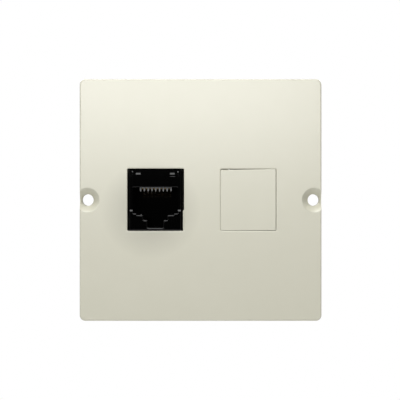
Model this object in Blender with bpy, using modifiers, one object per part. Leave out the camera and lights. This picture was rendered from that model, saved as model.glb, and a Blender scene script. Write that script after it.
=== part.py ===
"""Two-port data outlet plate for a round flush wall box.

A square plate holds an 8-way modular jack in one clip-in port and a blank insert in the other.
X is right, Z is up and +Y points into the wall. The origin is the middle of the wall plane, on the
plate's centre rib. Clip-in pieces are modelled in their port's own frame, whose Y is the depth
behind the plate's front face.
"""

import math

import bmesh
import bpy
from mathutils import Matrix, Vector

MM = 0.001

# Plate
PLATE_SIDE = 64.0 * MM
PLATE_CORNER = 1.5 * MM
PLATE_DEPTH = 4.0 * MM
PLATE_SKIN = 2.2 * MM
PLATE_EDGE = 0.4 * MM
SKIRT = 1.6 * MM
RIB = 1.2 * MM
RIB_BACK = 3.6 * MM
CENTRE_RIB_WIDTH = 1.6 * MM
CENTRE_RIB_HEIGHT = 21.0 * MM

# Screw holes: the pitch is that of a 60 mm flush box
SCREW_PITCH = 60.0 * MM
SCREW_HOLE_RADIUS = 1.55 * MM
COUNTERSINK_RADIUS = 3.2 * MM
BOSS_REACH = 4.8 * MM
BOSS_HALF_HEIGHT = 4.6 * MM

# Clip-in ports
JACK_X = -11.9 * MM
BLANK_X = 12.65 * MM
PORT_WIDTH = 14.9 * MM
PORT_HALF_HEIGHT = 8.2 * MM
COLLAR_WALL = 1.5 * MM
COLLAR_BACK = 9.6 * MM
LIP_FRONT = 8.0 * MM
COLLAR_FLOOR = -10.3 * MM
COLLAR_ROOF = 10.9 * MM
LOWER_LIP = -8.4 * MM
UPPER_LIP = 8.7 * MM
GUIDE_RIB_TOP = -3.2 * MM
GUIDE_RIB_THICKNESS = 0.2 * MM

# What every clip-in insert shares
FACE_BACK = 2.6 * MM
HOOK_FRONT = 3.6 * MM
HOOK_TIP = 6.0 * MM
HOOK_BACK = 7.7 * MM
HOOK_DROP = 1.6 * MM
GROOVE_FLOOR = -7.85 * MM
GROOVE_BACK = 10.0 * MM
SHOULDER = -9.4 * MM
INSERT_TOP = 5.5 * MM
CHEEK_FRONT = 10.2 * MM
CHEEK_INNER = 4.9 * MM
CHEEK_TOP = 8.7 * MM
LATCH_WIDTH = 9.2 * MM
LATCH_PIVOT = Vector((0, 3.0 * MM, 7.4 * MM))
# The lever from the side, as (depth, height) in millimetres: its hinge, its catch, and its tab
LATCH_OUTLINE = [
    (2.9, 6.9),
    (2.9, 7.9),
    (4.4, 8.0),
    (6.9, 9.6),
    (7.5, 9.6),
    (7.65, 8.2),
    (9.95, 8.2),
    (9.95, 9.5),
    (10.7, 10.0),
    (14.6, 10.7),
    (15.2, 10.2),
    (15.0, 9.4),
    (10.9, 8.7),
    (10.2, 7.15),
    (7.0, 6.95),
]

# Jack
JACK_WIDTH = 14.1 * MM
JACK_REAR_WIDTH = 15.0 * MM
JACK_CHEEK_BACK = 15.8 * MM
JACK_FACE_WIDTH = 13.75 * MM
JACK_FACE_HALF_HEIGHT = 8.0 * MM
FLANGE_WIDTH = 14.5 * MM
FLANGE_HALF_HEIGHT = 7.95 * MM
FLANGE_FRONT = 0.4 * MM
JACK_LENGTH = 29.0 * MM
JACK_SHIFT = -0.1 * MM
CAVITY_DEPTH = 13.0 * MM
TAIL_ROOM_HALF_WIDTH = 6.2 * MM
TAIL_ROOM_FRONT = 13.8 * MM
TAIL_ROOM_BACK = 27.4 * MM
ICON_X = 4.5 * MM
ICON_HALF_WIDTH = 0.75 * MM
ICON_OUTLINE = [(-0.1, 6.5), (1.1, 7.4), (-0.1, 7.4)]  # (depth, height) in millimetres
CAVITY_FRONT_WALL = 1.6 * MM
CAVITY_TOP = 3.36 * MM
CAVITY_HALF_WIDTH = 5.95 * MM
PLUG_FLOOR = -3.55 * MM
KEEL_HALF_WIDTH = 4.9 * MM
KEEL_FLOOR = -4.0 * MM
CLIP_HALF_WIDTH = 3.2 * MM
CLIP_LEDGE = -5.35 * MM
CLIP_MOUTH_HALF_WIDTH = 2.1 * MM
CLIP_FLOOR = -7.4 * MM
CONTACTS = 8
CONTACT_PITCH = 1.016 * MM
WIRE_RADIUS = 0.175 * MM
CONTACT_PIVOT = Vector((0, 3.95 * MM, 3.05 * MM))
TAIL_HEIGHT = 4.15 * MM
TAIL_ROWS = (17.2 * MM, 19.4 * MM)
TAIL_TIP = 7.0 * MM
ARM_PATH = [(3.95, 3.05), (10.6, 0.85), (11.3, 0.78), (12.2, 1.05)]  # (depth, height) in millimetres
TAIL_BEND = [(3.95, 3.45), (3.98, 3.8), (4.15, 4.05), (4.45, 4.15)]
CARRIER_HALF_WIDTH = 5.2 * MM
CARRIER_FRONT = 3.4 * MM
CARRIER_BACK = 15.3 * MM
CARRIER_BOTTOM = 3.55 * MM
CARRIER_TOP = 4.75 * MM
CARRIER_SIDE_GAP = 0.25 * MM
CARRIER_END_GAP = 0.3 * MM
CARRIER_TOP_GAP = 0.2 * MM
RAIL_WIDTH = 0.8 * MM
RAIL_BACK = 27.0 * MM
RAIL_TOP = 5.4 * MM
COMB_BOTTOM = 2.2 * MM
COMB_BACK = 4.7 * MM
GROOVE_WIDTH = 0.55 * MM
GROOVE_WALL = 0.25 * MM
GROOVE_ROOM = 0.3 * MM  # from a tail's middle to the roof of its groove
BOARD_HALF_WIDTH = 6.9 * MM
BOARD_FRONT = 16.1 * MM
BOARD_END = 28.7 * MM
BOARD_BOTTOM = 5.7 * MM
BOARD_TOP = 6.8 * MM
TAIL_HOLE_RADIUS = 0.35 * MM
PIN_HOLE_RADIUS = 0.5 * MM

# Insulation-displacement block
CLIPS_PER_ROW = 4
CLIP_PITCH = 3.0 * MM
FIRST_CLIP = 18.0 * MM
ROW_X = 5.6 * MM
ROW_INNER = 3.2 * MM
ROW_OUTER = 8.15 * MM
BLOCK_FRONT = 16.4 * MM
BLOCK_BACK = 28.6 * MM
BLOCK_BOTTOM = 7.1 * MM
BLOCK_BASE_TOP = 8.5 * MM
BLOCK_TOP = 13.6 * MM
CLIP_THICKNESS = 0.4 * MM
# The right half of a clip from the side, as (depth, height) in millimetres: blade, shoulder and pin
CLIP_HALF_OUTLINE = [
    (0.2, 9.3),
    (0.2, 12.0),
    (0.55, 12.4),
    (1.0, 12.2),
    (1.1, 8.0),
    (0.3, 7.8),
    (0.3, 5.3),
]
WIRE_SLOT_OUTLINE = [(-0.45, 9.5), (0.45, 9.5), (0.45, 12.4), (1.15, 14.0), (-1.15, 14.0), (-0.45, 12.4)]
DIVIDER_HALF_WIDTH = 0.5 * MM
DIVIDER_TOP = 11.0 * MM
LEG_FRONT = 20.4 * MM
LEG_BACK = 24.6 * MM
LEG_THICKNESS = 0.6 * MM
LEG_BOTTOM = 1.2 * MM
LEG_EDGE = 0.8 * MM
WINDOW_BOTTOM = 1.8 * MM
WINDOW_TOP = 3.7 * MM
CAP_WALL = 0.65 * MM
CAP_GAP = 0.25 * MM

# Blank insert
BLANK_FACE_WIDTH = 14.3 * MM
BLANK_FACE_HALF_HEIGHT = 7.95 * MM
BLANK_LENGTH = 12.0 * MM
BLANK_WALL = 1.2 * MM
BLANK_SHIFT = -0.13 * MM
BLANK_LEAN = math.radians(0.8)

ARC_STEPS = 5
ROUND_STEPS = 32
PAST = 0.5 * MM  # how far a cutter runs past what it cuts
OVERLAP = 0.3 * MM  # how far joined blocks, or cutters in a row, run into each other

# Outline planes: which way an outline's first and second coordinate and its thickness run
SIDE = Matrix(((0, 0, 1), (1, 0, 0), (0, 1, 0)))  # (depth, height), thick along X
FRONT = Matrix(((1, 0, 0), (0, 0, -1), (0, 1, 0)))  # (across, height), thick along Y


def clear_scene():
    for obj in list(bpy.data.objects):
        bpy.data.objects.remove(obj)


def make_collection(name, hidden=False):
    collection = bpy.data.collections.new(name)
    bpy.context.scene.collection.children.link(collection)
    collection.hide_render = hidden
    return collection


def make_material(name, colour, roughness, metallic=0.0):
    material = bpy.data.materials.new(name)
    material.use_nodes = True
    shader = material.node_tree.nodes["Principled BSDF"]
    shader.inputs["Base Color"].default_value = (*colour, 1)
    shader.inputs["Roughness"].default_value = roughness
    shader.inputs["Metallic"].default_value = metallic
    return material


def make_frame(name, location, lean=0.0):
    """An empty that a port's pieces hang from."""
    frame = bpy.data.objects.new(name, None)
    frame.location = location
    frame.rotation_euler = (0, -lean, 0)
    PARTS.objects.link(frame)
    return frame


def add_object(name, mesh, origin=(0, 0, 0), frame=None, material=None):
    obj = bpy.data.objects.new(name, mesh)
    obj.location = origin
    obj.parent = frame
    PARTS.objects.link(obj)
    if material is not None:
        mesh.materials.append(material)
    return obj


def block_mesh(name, low, high):
    """A box between two corners."""
    mesh = bpy.data.meshes.new(name)
    bm = bmesh.new()
    bmesh.ops.create_cube(bm, size=1.0)
    low, high = Vector(low), Vector(high)
    size = Matrix.Diagonal((*(high - low), 1))
    bmesh.ops.transform(bm, matrix=Matrix.Translation((low + high) / 2) @ size, verts=bm.verts)
    bm.to_mesh(mesh)
    bm.free()
    return mesh


def block(name, low, high, frame=None, material=None):
    return add_object(name, block_mesh(name, low, high), frame=frame, material=material)


def mesh_of_curve(name, curve):
    """The closed mesh of a curve drawn in millimetres, with its caps welded on."""
    source = bpy.data.objects.new(name + "_curve", curve)
    bpy.context.scene.collection.objects.link(source)
    graph = bpy.context.evaluated_depsgraph_get()
    mesh = bpy.data.meshes.new_from_object(source.evaluated_get(graph))
    bpy.data.objects.remove(source)
    mesh.name = name
    bm = bmesh.new()
    bm.from_mesh(mesh)
    bmesh.ops.scale(bm, vec=(MM, MM, MM), verts=bm.verts)
    bmesh.ops.remove_doubles(bm, verts=bm.verts, dist=0.001 * MM)
    bmesh.ops.recalc_face_normals(bm, faces=bm.faces)
    bm.to_mesh(mesh)
    bm.free()
    return mesh


def add_spline(curve, points, cyclic):
    spline = curve.splines.new("POLY")
    spline.points.add(len(points) - 1)
    for target, point in zip(spline.points, points):
        target.co = (*(Vector(point) / MM), 1)
    spline.use_cyclic_u = cyclic


def outline_mesh(name, points, plane, start, end):
    """A flat outline given thickness from start to end across its plane."""
    curve = bpy.data.curves.new(name, "CURVE")
    curve.dimensions = "2D"
    curve.fill_mode = "BOTH"
    curve.extrude = (end - start) / 2 / MM
    add_spline(curve, [(u, v, 0) for u, v in points], cyclic=True)
    mesh = mesh_of_curve(name, curve)
    middle = plane @ Vector((0, 0, 1)) * (start + end) / 2
    if plane is FRONT:
        middle = -middle
    mesh.transform(Matrix.Translation(middle) @ plane.to_4x4())
    return mesh


def outline_solid(name, points, plane, start, end, origin=(0, 0, 0), frame=None, material=None):
    mesh = outline_mesh(name, points, plane, start, end)
    return add_object(name, mesh, origin, frame, material)


def wire_mesh(name, points, radius):
    """A round wire along a line of points."""
    curve = bpy.data.curves.new(name, "CURVE")
    curve.dimensions = "3D"
    curve.bevel_depth = radius / MM
    curve.bevel_resolution = 1
    curve.use_fill_caps = True
    add_spline(curve, points, cyclic=False)
    return mesh_of_curve(name, curve)


def turned_cutter(name, profile, location):
    """A cutter turned about an axis along Y, from (radius, depth) points that start and end on the axis."""
    mesh = bpy.data.meshes.new(name)
    bm = bmesh.new()
    rim = [bm.verts.new((radius, 0, -depth)) for radius, depth in profile]
    for a, b in zip(rim, rim[1:]):
        bm.edges.new((a, b))
    bm.to_mesh(mesh)
    bm.free()
    obj = add_object(name, mesh, location)
    obj.rotation_euler = (math.radians(90), 0, 0)
    screw = obj.modifiers.new("Turn", "SCREW")
    screw.steps = screw.render_steps = ROUND_STEPS
    screw.use_merge_vertices = True
    screw.merge_threshold = 0.0001 * MM
    return obj


def combine(target, other, operation):
    """Cuts or joins target with other, which then becomes a hidden helper."""
    modifier = target.modifiers.new(f"{operation.title()} {other.name}", "BOOLEAN")
    modifier.operation = operation
    modifier.object = other
    PARTS.objects.unlink(other)
    HELPERS.objects.link(other)
    other.hide_render = True
    other.display_type = "WIRE"


def cut(target, *others):
    for other in others:
        combine(target, other, "DIFFERENCE")


def join(target, *others):
    for other in others:
        combine(target, other, "UNION")


def smooth(obj):
    obj.data.shade_smooth()
    obj.data.set_sharp_from_angle(angle=math.radians(35))


def arc(centre, radius, start, end, steps=ARC_STEPS):
    """Points along an arc, with its angles in degrees."""
    angles = [math.radians(start + (end - start) * i / steps) for i in range(steps + 1)]
    return [(centre[0] + radius * math.cos(a), centre[1] + radius * math.sin(a)) for a in angles]


def rounded_square(side, radius):
    inner = side / 2 - radius
    corners = ((inner, inner), (-inner, inner), (-inner, -inner), (inner, -inner))
    return [p for i, c in enumerate(corners) for p in arc(c, radius, 90 * i, 90 * i + 90)]


def mirrored(right):
    """A closed outline from its right half, given from top to bottom."""
    return right + [(-x, y) for x, y in reversed(right)]


def contact_x(i):
    return (i - (CONTACTS - 1) / 2) * CONTACT_PITCH


def clip_place(i):
    """Where clip i stands: four down the left row, then four down the right."""
    side = -1 if i < CLIPS_PER_ROW else 1
    return side * ROW_X, FIRST_CLIP + (i % CLIPS_PER_ROW) * CLIP_PITCH


# ---- plate ----


def port_cutters(name, x):
    """The front opening, the pocket behind it and the way out between the lips."""
    spans = (
        ("opening", -PAST, PLATE_SKIN + OVERLAP, -PORT_HALF_HEIGHT, PORT_HALF_HEIGHT),
        ("pocket", PLATE_SKIN, LIP_FRONT, COLLAR_FLOOR, COLLAR_ROOF),
        ("way_out", LIP_FRONT - OVERLAP, COLLAR_BACK + PAST, LOWER_LIP, UPPER_LIP),
    )
    half = PORT_WIDTH / 2
    return [
        block(
            f"{name}_{part}",
            (x - half, front - PLATE_DEPTH, bottom),
            (x + half, back - PLATE_DEPTH, top),
        )
        for part, front, back, bottom, top in spans
    ]


def collar(name, x):
    """The box behind a port that holds the lips for the insert's hook and latch."""
    half = PORT_WIDTH / 2 + COLLAR_WALL
    low = (x - half, -PLATE_DEPTH + PLATE_SKIN / 2, COLLAR_FLOOR - COLLAR_WALL)
    high = (x + half, -PLATE_DEPTH + COLLAR_BACK, COLLAR_ROOF + COLLAR_WALL)
    return block(name, low, high)


def back_pocket():
    """The hollow behind the plate's skin."""
    half = PLATE_SIDE / 2 - SKIRT
    return block("back_pocket", (-half, PLATE_SKIN - PLATE_DEPTH, -half), (half, PAST, half))


def screw_boss(name, side):
    """The solid block round a screw hole."""
    edge = PLATE_SIDE / 2
    span = (side * (edge - SKIRT / 2), side * (edge - BOSS_REACH))
    low = (min(span), -PLATE_DEPTH + PLATE_SKIN / 2, -BOSS_HALF_HEIGHT)
    return block(name, low, (max(span), 0, BOSS_HALF_HEIGHT))


def screw_hole(name, x):
    cone_depth = COUNTERSINK_RADIUS - SCREW_HOLE_RADIUS
    rim = COUNTERSINK_RADIUS + PAST
    profile = [
        (0, -PAST),
        (rim, -PAST),
        (SCREW_HOLE_RADIUS, cone_depth),
        (SCREW_HOLE_RADIUS, PLATE_DEPTH + PAST),
        (0, PLATE_DEPTH + PAST),
    ]
    return turned_cutter(name, profile, (x, -PLATE_DEPTH, 0))


def plate_ribs():
    """Stiffening ribs on the back of the skin, level with the tops and bottoms of the collars."""
    reach = PLATE_SIDE / 2 - SKIRT / 2
    front = -PLATE_DEPTH + PLATE_SKIN / 2
    back = -PLATE_DEPTH + RIB_BACK
    ribs = []
    for name, z in (("upper", COLLAR_ROOF), ("lower", COLLAR_FLOOR - RIB)):
        ribs.append(block(f"{name}_rib", (-reach, front, z), (reach, back, z + RIB)))
    for name, x in (("jack", JACK_X), ("blank", BLANK_X)):
        ribs.append(block(f"{name}_rib", (x - RIB / 2, front, -reach), (x + RIB / 2, back, reach)))
    half_width, half_height = CENTRE_RIB_WIDTH / 2, CENTRE_RIB_HEIGHT / 2
    low = (-half_width, front, -half_height)
    ribs.append(block("centre_rib", low, (half_width, 0, half_height)))
    return ribs


def make_plate(material):
    outline = rounded_square(PLATE_SIDE, PLATE_CORNER)
    plate = outline_solid("front_plate", outline, FRONT, -PLATE_DEPTH, 0, material=material)
    bevel = plate.modifiers.new("Edge", "BEVEL")
    bevel.width = PLATE_EDGE
    bevel.segments = 2
    bevel.limit_method = "ANGLE"
    bevel.angle_limit = math.radians(60)
    ports = (("jack", JACK_X), ("blank", BLANK_X))
    cut(plate, back_pocket())
    join(plate, screw_boss("left_boss", -1), screw_boss("right_boss", 1), *plate_ribs())
    join(plate, *[collar(f"{name}_collar", x) for name, x in ports])
    for name, x in ports:
        cut(plate, *port_cutters(name, x))
    wall = JACK_X + PORT_WIDTH / 2
    low = (wall - GUIDE_RIB_THICKNESS, -PLATE_DEPTH + PLATE_EDGE / 2, -PORT_HALF_HEIGHT - PAST)
    high = (wall + PAST, -PLATE_DEPTH + PLATE_SKIN, GUIDE_RIB_TOP)
    join(plate, block("guide_rib", low, high))
    for side, x in (("left", -SCREW_PITCH / 2), ("right", SCREW_PITCH / 2)):
        cut(plate, screw_hole(f"{side}_screw_hole", x))
    return plate


# ---- clip-in inserts ----


def insert_outline(face_half_height, length):
    """The side of an insert: its face, the fixed hook below, the groove for the lip and the shoulder."""
    bottom = -face_half_height
    return [
        (0, bottom),
        (0, face_half_height),
        (FACE_BACK, face_half_height),
        (FACE_BACK, INSERT_TOP),
        (length, INSERT_TOP),
        (length, SHOULDER),
        (GROOVE_BACK, SHOULDER),
        (GROOVE_BACK, GROOVE_FLOOR),
        (HOOK_BACK, GROOVE_FLOOR),
        (HOOK_BACK, bottom - HOOK_DROP),
        (HOOK_TIP, bottom - HOOK_DROP),
        (HOOK_FRONT, bottom),
    ]


def cheeks(name, width, back, frame):
    """The walls on either side of the latch's tab, behind the collar."""
    made = []
    for side in (-1, 1):
        span = (side * CHEEK_INNER, side * width / 2)
        low = (min(span), CHEEK_FRONT, INSERT_TOP - PAST)
        made.append(block(f"{name}_cheek", low, (max(span), back, CHEEK_TOP), frame))
    return made


def make_latch(name, frame, material):
    """The sprung lever above an insert. Its catch bears on the upper lip, and pressing its tab frees it."""
    points = [(d * MM - LATCH_PIVOT.y, z * MM - LATCH_PIVOT.z) for d, z in LATCH_OUTLINE]
    half = LATCH_WIDTH / 2
    return outline_solid(name, points, SIDE, -half, half, LATCH_PIVOT, frame, material)


# ---- jack ----


def cavity_cutters(frame):
    """The plug's way in, in steps that narrow downwards. The clip slot widens behind the front wall."""
    steps = (
        ("plug", -PAST, CAVITY_HALF_WIDTH, CAVITY_TOP, PLUG_FLOOR),
        ("keel", -PAST, KEEL_HALF_WIDTH, 0, KEEL_FLOOR),
        ("clip", -PAST, CLIP_HALF_WIDTH, 0, CLIP_LEDGE),
        ("clip_mouth", -PAST, CLIP_MOUTH_HALF_WIDTH, 0, CLIP_FLOOR),
        ("clip_room", CAVITY_FRONT_WALL, CLIP_HALF_WIDTH, 0, CLIP_FLOOR),
    )
    return [
        block(f"{name}_room", (-half, front, floor), (half, CAVITY_DEPTH, top), frame)
        for name, front, half, top, floor in steps
    ]


def icon_slot(name, x, frame):
    """A small slot in the face with a floor that slopes down to the front."""
    points = [(d * MM, z * MM) for d, z in ICON_OUTLINE]
    return outline_solid(name, points, SIDE, x - ICON_HALF_WIDTH, x + ICON_HALF_WIDTH, frame=frame)


def snap_bump(name, side, frame):
    """A wedge on the housing's flank that the block's leg hooks over."""
    flank = JACK_REAR_WIDTH / 2
    outline = [(flank - PAST, 2.0 * MM), (flank + 0.65 * MM, 2.15 * MM)]
    outline += [(flank + 0.65 * MM, 2.5 * MM), (flank, 3.4 * MM), (flank - PAST, 3.4 * MM)]
    points = [(side * x, z) for x, z in outline]
    middle = (LEG_FRONT + LEG_BACK) / 2
    return outline_solid(name, points, FRONT, middle - 0.9 * MM, middle + 0.9 * MM, frame=frame)


def make_housing(frame, material):
    half = JACK_WIDTH / 2
    outline = insert_outline(JACK_FACE_HALF_HEIGHT, JACK_LENGTH)
    housing = outline_solid("jack_housing", outline, SIDE, -half, half, frame=frame, material=material)
    half = FLANGE_WIDTH / 2
    low = (-half, FLANGE_FRONT, -FLANGE_HALF_HEIGHT)
    join(housing, block("flange", low, (half, FACE_BACK, FLANGE_HALF_HEIGHT), frame))
    half = JACK_REAR_WIDTH / 2
    low, high = (-half, CHEEK_FRONT, SHOULDER), (half, JACK_LENGTH, INSERT_TOP)
    join(housing, block("rear_body", low, high, frame))
    join(housing, *cheeks("jack", JACK_REAR_WIDTH, JACK_CHEEK_BACK, frame))
    join(housing, snap_bump("left_bump", -1, frame), snap_bump("right_bump", 1, frame))
    for side, name in ((-1, "left"), (1, "right")):
        span = (side * JACK_FACE_WIDTH / 2, side * (FLANGE_WIDTH / 2 + PAST))
        low = (min(span), -PAST, -JACK_FACE_HALF_HEIGHT - PAST)
        high = (max(span), FLANGE_FRONT, JACK_FACE_HALF_HEIGHT + PAST)
        cut(housing, block(f"{name}_rebate", low, high, frame))
    cut(housing, *cavity_cutters(frame))
    room = CARRIER_HALF_WIDTH + CARRIER_SIDE_GAP
    low = (-room, CARRIER_FRONT - CARRIER_END_GAP, CAVITY_TOP - OVERLAP)
    high = (room, CARRIER_BACK + CARRIER_END_GAP, CARRIER_TOP + CARRIER_TOP_GAP)
    cut(housing, block("carrier_room", low, high, frame))
    low = (-TAIL_ROOM_HALF_WIDTH, TAIL_ROOM_FRONT, 0)
    high = (TAIL_ROOM_HALF_WIDTH, TAIL_ROOM_BACK, INSERT_TOP + PAST)
    cut(housing, block("tail_room", low, high, frame))
    for name, x in (("left", -ICON_X), ("right", ICON_X)):
        cut(housing, icon_slot(f"{name}_icon_slot", x, frame))
    return housing


def make_carrier(frame, material):
    """The insert that holds the contact wires, with a comb at the front and rails under the board."""
    low = (-CARRIER_HALF_WIDTH, CARRIER_FRONT, CARRIER_BOTTOM)
    high = (CARRIER_HALF_WIDTH, CARRIER_BACK, CARRIER_TOP)
    carrier = block("contact_carrier", low, high, frame, material)
    tooth = CONTACT_PITCH - GROOVE_WIDTH
    comb = contact_x(CONTACTS - 0.5) + tooth / 2
    low, high = (-comb, CARRIER_FRONT, COMB_BOTTOM), (comb, COMB_BACK, CARRIER_BOTTOM + OVERLAP)
    join(carrier, block("comb", low, high, frame))
    for side in (-1, 1):
        outer, inner = side * CARRIER_HALF_WIDTH, side * (CARRIER_HALF_WIDTH - RAIL_WIDTH)
        low = (min(outer, inner), CARRIER_BACK - OVERLAP, CARRIER_BOTTOM)
        high = (max(outer, inner), RAIL_BACK, RAIL_TOP)
        join(carrier, block("rail", low, high, frame))
    front, roof = CARRIER_FRONT + GROOVE_WALL, TAIL_HEIGHT + GROOVE_ROOM
    groove = [
        (CARRIER_FRONT - PAST, COMB_BOTTOM - PAST),
        (CARRIER_BACK + PAST, COMB_BOTTOM - PAST),
        (CARRIER_BACK + PAST, roof),
        (front, roof),
        (front, CARRIER_BOTTOM),
        (CARRIER_FRONT - PAST, CARRIER_BOTTOM),
    ]
    mesh = outline_mesh("groove", groove, SIDE, -GROOVE_WIDTH / 2, GROOVE_WIDTH / 2)
    for i in range(CONTACTS):
        cut(carrier, add_object(f"groove_{i + 1}", mesh, (contact_x(i), 0, 0), frame))
    return carrier


def make_contacts(frame, material):
    """Each contact wire in two pieces, parted at the front bend: the sprung arm and the fixed tail."""
    points = [(0, d * MM - CONTACT_PIVOT.y, z * MM - CONTACT_PIVOT.z) for d, z in ARM_PATH]
    arm_mesh = wire_mesh("contact_arm", points, WIRE_RADIUS)
    arm_mesh.materials.append(material)
    tail_meshes = []
    for row in TAIL_ROWS:
        tail = [(d * MM, z * MM) for d, z in TAIL_BEND]
        tail += [(row - 0.4 * MM, TAIL_HEIGHT), (row - 0.1 * MM, TAIL_HEIGHT + 0.1 * MM)]
        tail += [(row, TAIL_HEIGHT + 0.4 * MM), (row, TAIL_TIP)]
        tail_meshes.append(wire_mesh("contact_tail", [(0, d, z) for d, z in tail], WIRE_RADIUS))
        tail_meshes[-1].materials.append(material)
    for i in range(CONTACTS):
        x = contact_x(i)
        smooth(add_object(f"contact_arm_{i + 1}", arm_mesh, (x, CONTACT_PIVOT.y, CONTACT_PIVOT.z), frame))
        smooth(add_object(f"contact_tail_{i + 1}", tail_meshes[i % 2], (x, 0, 0), frame))


def hole_mesh(name, radius, depth):
    mesh = bpy.data.meshes.new(name)
    bm = bmesh.new()
    bmesh.ops.create_cone(bm, cap_ends=True, segments=8, radius1=radius, radius2=radius, depth=depth)
    bm.to_mesh(mesh)
    bm.free()
    return mesh


def make_board(frame, material):
    """The circuit board, with a hole for each contact tail and each clip pin."""
    low = (-BOARD_HALF_WIDTH, BOARD_FRONT, BOARD_BOTTOM)
    board = block("circuit_board", low, (BOARD_HALF_WIDTH, BOARD_END, BOARD_TOP), frame, material)
    middle = (BOARD_BOTTOM + BOARD_TOP) / 2
    depth = BOARD_TOP - BOARD_BOTTOM + 2 * PAST
    tail_hole = hole_mesh("tail_hole", TAIL_HOLE_RADIUS, depth)
    pin_hole = hole_mesh("pin_hole", PIN_HOLE_RADIUS, depth)
    for i in range(CONTACTS):
        place = (contact_x(i), TAIL_ROWS[i % 2], middle)
        cut(board, add_object(f"tail_hole_{i + 1}", tail_hole, place, frame))
        cut(board, add_object(f"pin_hole_{i + 1}", pin_hole, (*clip_place(i), middle), frame))
    return board


def make_clips(frame, material):
    """The forked blades that cut into each wire's insulation, with a pin down through the board."""
    points = mirrored([(d * MM, z * MM) for d, z in CLIP_HALF_OUTLINE])
    mesh = outline_mesh("idc_clip", points, SIDE, -CLIP_THICKNESS / 2, CLIP_THICKNESS / 2)
    mesh.materials.append(material)
    for i in range(2 * CLIPS_PER_ROW):
        add_object(f"idc_clip_{i + 1}", mesh, (*clip_place(i), 0), frame)


def snap_leg(name, side, frame):
    """A leg down the housing's flank with a window for the bump."""
    inner, outer = ROW_OUTER - LEG_THICKNESS, ROW_OUTER
    low = (min(side * inner, side * outer), LEG_FRONT, LEG_BOTTOM)
    high = (max(side * inner, side * outer), LEG_BACK, BLOCK_BASE_TOP - OVERLAP)
    return block(name, low, high, frame)


def make_block(frame, material):
    """The tower with two rows of pillars. Wires are pushed down between the pillars onto the clips."""
    low, high = (-ROW_OUTER, BLOCK_FRONT, BLOCK_BOTTOM), (ROW_OUTER, BLOCK_BACK, BLOCK_TOP)
    tower = block("idc_block", low, high, frame, material)
    low = (-ROW_INNER, BLOCK_FRONT - PAST, BLOCK_BASE_TOP)
    high = (ROW_INNER, BLOCK_BACK + PAST, BLOCK_TOP + PAST)
    cut(tower, block("cable_channel", low, high, frame))
    low = (-DIVIDER_HALF_WIDTH, BLOCK_FRONT, BLOCK_BASE_TOP - OVERLAP)
    join(tower, block("divider", low, (DIVIDER_HALF_WIDTH, BLOCK_BACK, DIVIDER_TOP), frame))
    join(tower, snap_leg("left_leg", -1, frame), snap_leg("right_leg", 1, frame))
    low = (-ROW_OUTER - PAST, LEG_FRONT + LEG_EDGE, WINDOW_BOTTOM)
    high = (ROW_OUTER + PAST, LEG_BACK - LEG_EDGE, WINDOW_TOP)
    cut(tower, block("leg_windows", low, high, frame))
    points = [(d * MM, z * MM) for d, z in WIRE_SLOT_OUTLINE]
    reach = ROW_OUTER + PAST
    slot_mesh = outline_mesh("wire_slot", points, SIDE, -reach, reach)
    seat = block_mesh("clip_seat", (-0.35 * MM, -1.25 * MM, 7.7 * MM), (0.35 * MM, 1.25 * MM, 14 * MM))
    pin_way = block_mesh("pin_way", (-0.35 * MM, -0.45 * MM, 7 * MM), (0.35 * MM, 0.45 * MM, 7.8 * MM))
    for i in range(CLIPS_PER_ROW):
        depth = FIRST_CLIP + i * CLIP_PITCH
        cut(tower, add_object(f"wire_slot_{i + 1}", slot_mesh, (0, depth, 0), frame))
    for i in range(2 * CLIPS_PER_ROW):
        place = (*clip_place(i), 0)
        cut(tower, add_object(f"clip_seat_{i + 1}", seat, place, frame))
        cut(tower, add_object(f"pin_way_{i + 1}", pin_way, place, frame))
    return tower


def make_cap(name, side, frame, material):
    """The cap over one row of pillars, with a notch in its skirt for each wire and a grip on top."""
    outer, inner = ROW_OUTER + CAP_GAP, ROW_INNER - CAP_GAP
    roof = BLOCK_TOP + CAP_GAP
    outline = [
        (inner - CAP_WALL, 10.4 * MM),
        (inner, 10.4 * MM),
        (inner, roof),
        (outer, roof),
        (outer, 9.4 * MM),
        (outer + CAP_WALL, 9.4 * MM),
        (outer + CAP_WALL, roof + 0.7 * MM),
        (outer, roof + 1.0 * MM),
        (inner - CAP_WALL, roof + 1.0 * MM),
    ]
    points = [(side * x, z) for x, z in outline]
    cap = outline_solid(name, points, FRONT, BLOCK_FRONT, BLOCK_BACK, frame=frame, material=material)
    grip = (side * 4.6 * MM, side * 6.6 * MM)
    low = (min(grip), BLOCK_FRONT + 1.5 * MM, roof + 0.5 * MM)
    high = (max(grip), BLOCK_BACK - 1.5 * MM, roof + 1.5 * MM)
    join(cap, block(f"{name}_grip", low, high, frame))
    for i in range(CLIPS_PER_ROW):
        depth = FIRST_CLIP + i * CLIP_PITCH
        skirt = (side * (outer - PAST), side * (outer + CAP_WALL + PAST))
        low = (min(skirt), depth - 0.65 * MM, 9.0 * MM)
        cut(cap, block(f"{name}_notch_{i + 1}", low, (max(skirt), depth + 0.65 * MM, 11.6 * MM), frame))
    return cap


def make_label(name, side, frame, material):
    """The wiring colour label on the housing's flank."""
    inner = JACK_REAR_WIDTH / 2 + 0.05 * MM
    flank = (side * inner, side * (inner + 0.15 * MM))
    low, high = (min(flank), 11.2 * MM, -5.5 * MM), (max(flank), 19.8 * MM, 3.5 * MM)
    return block(name, low, high, frame, material)


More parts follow.
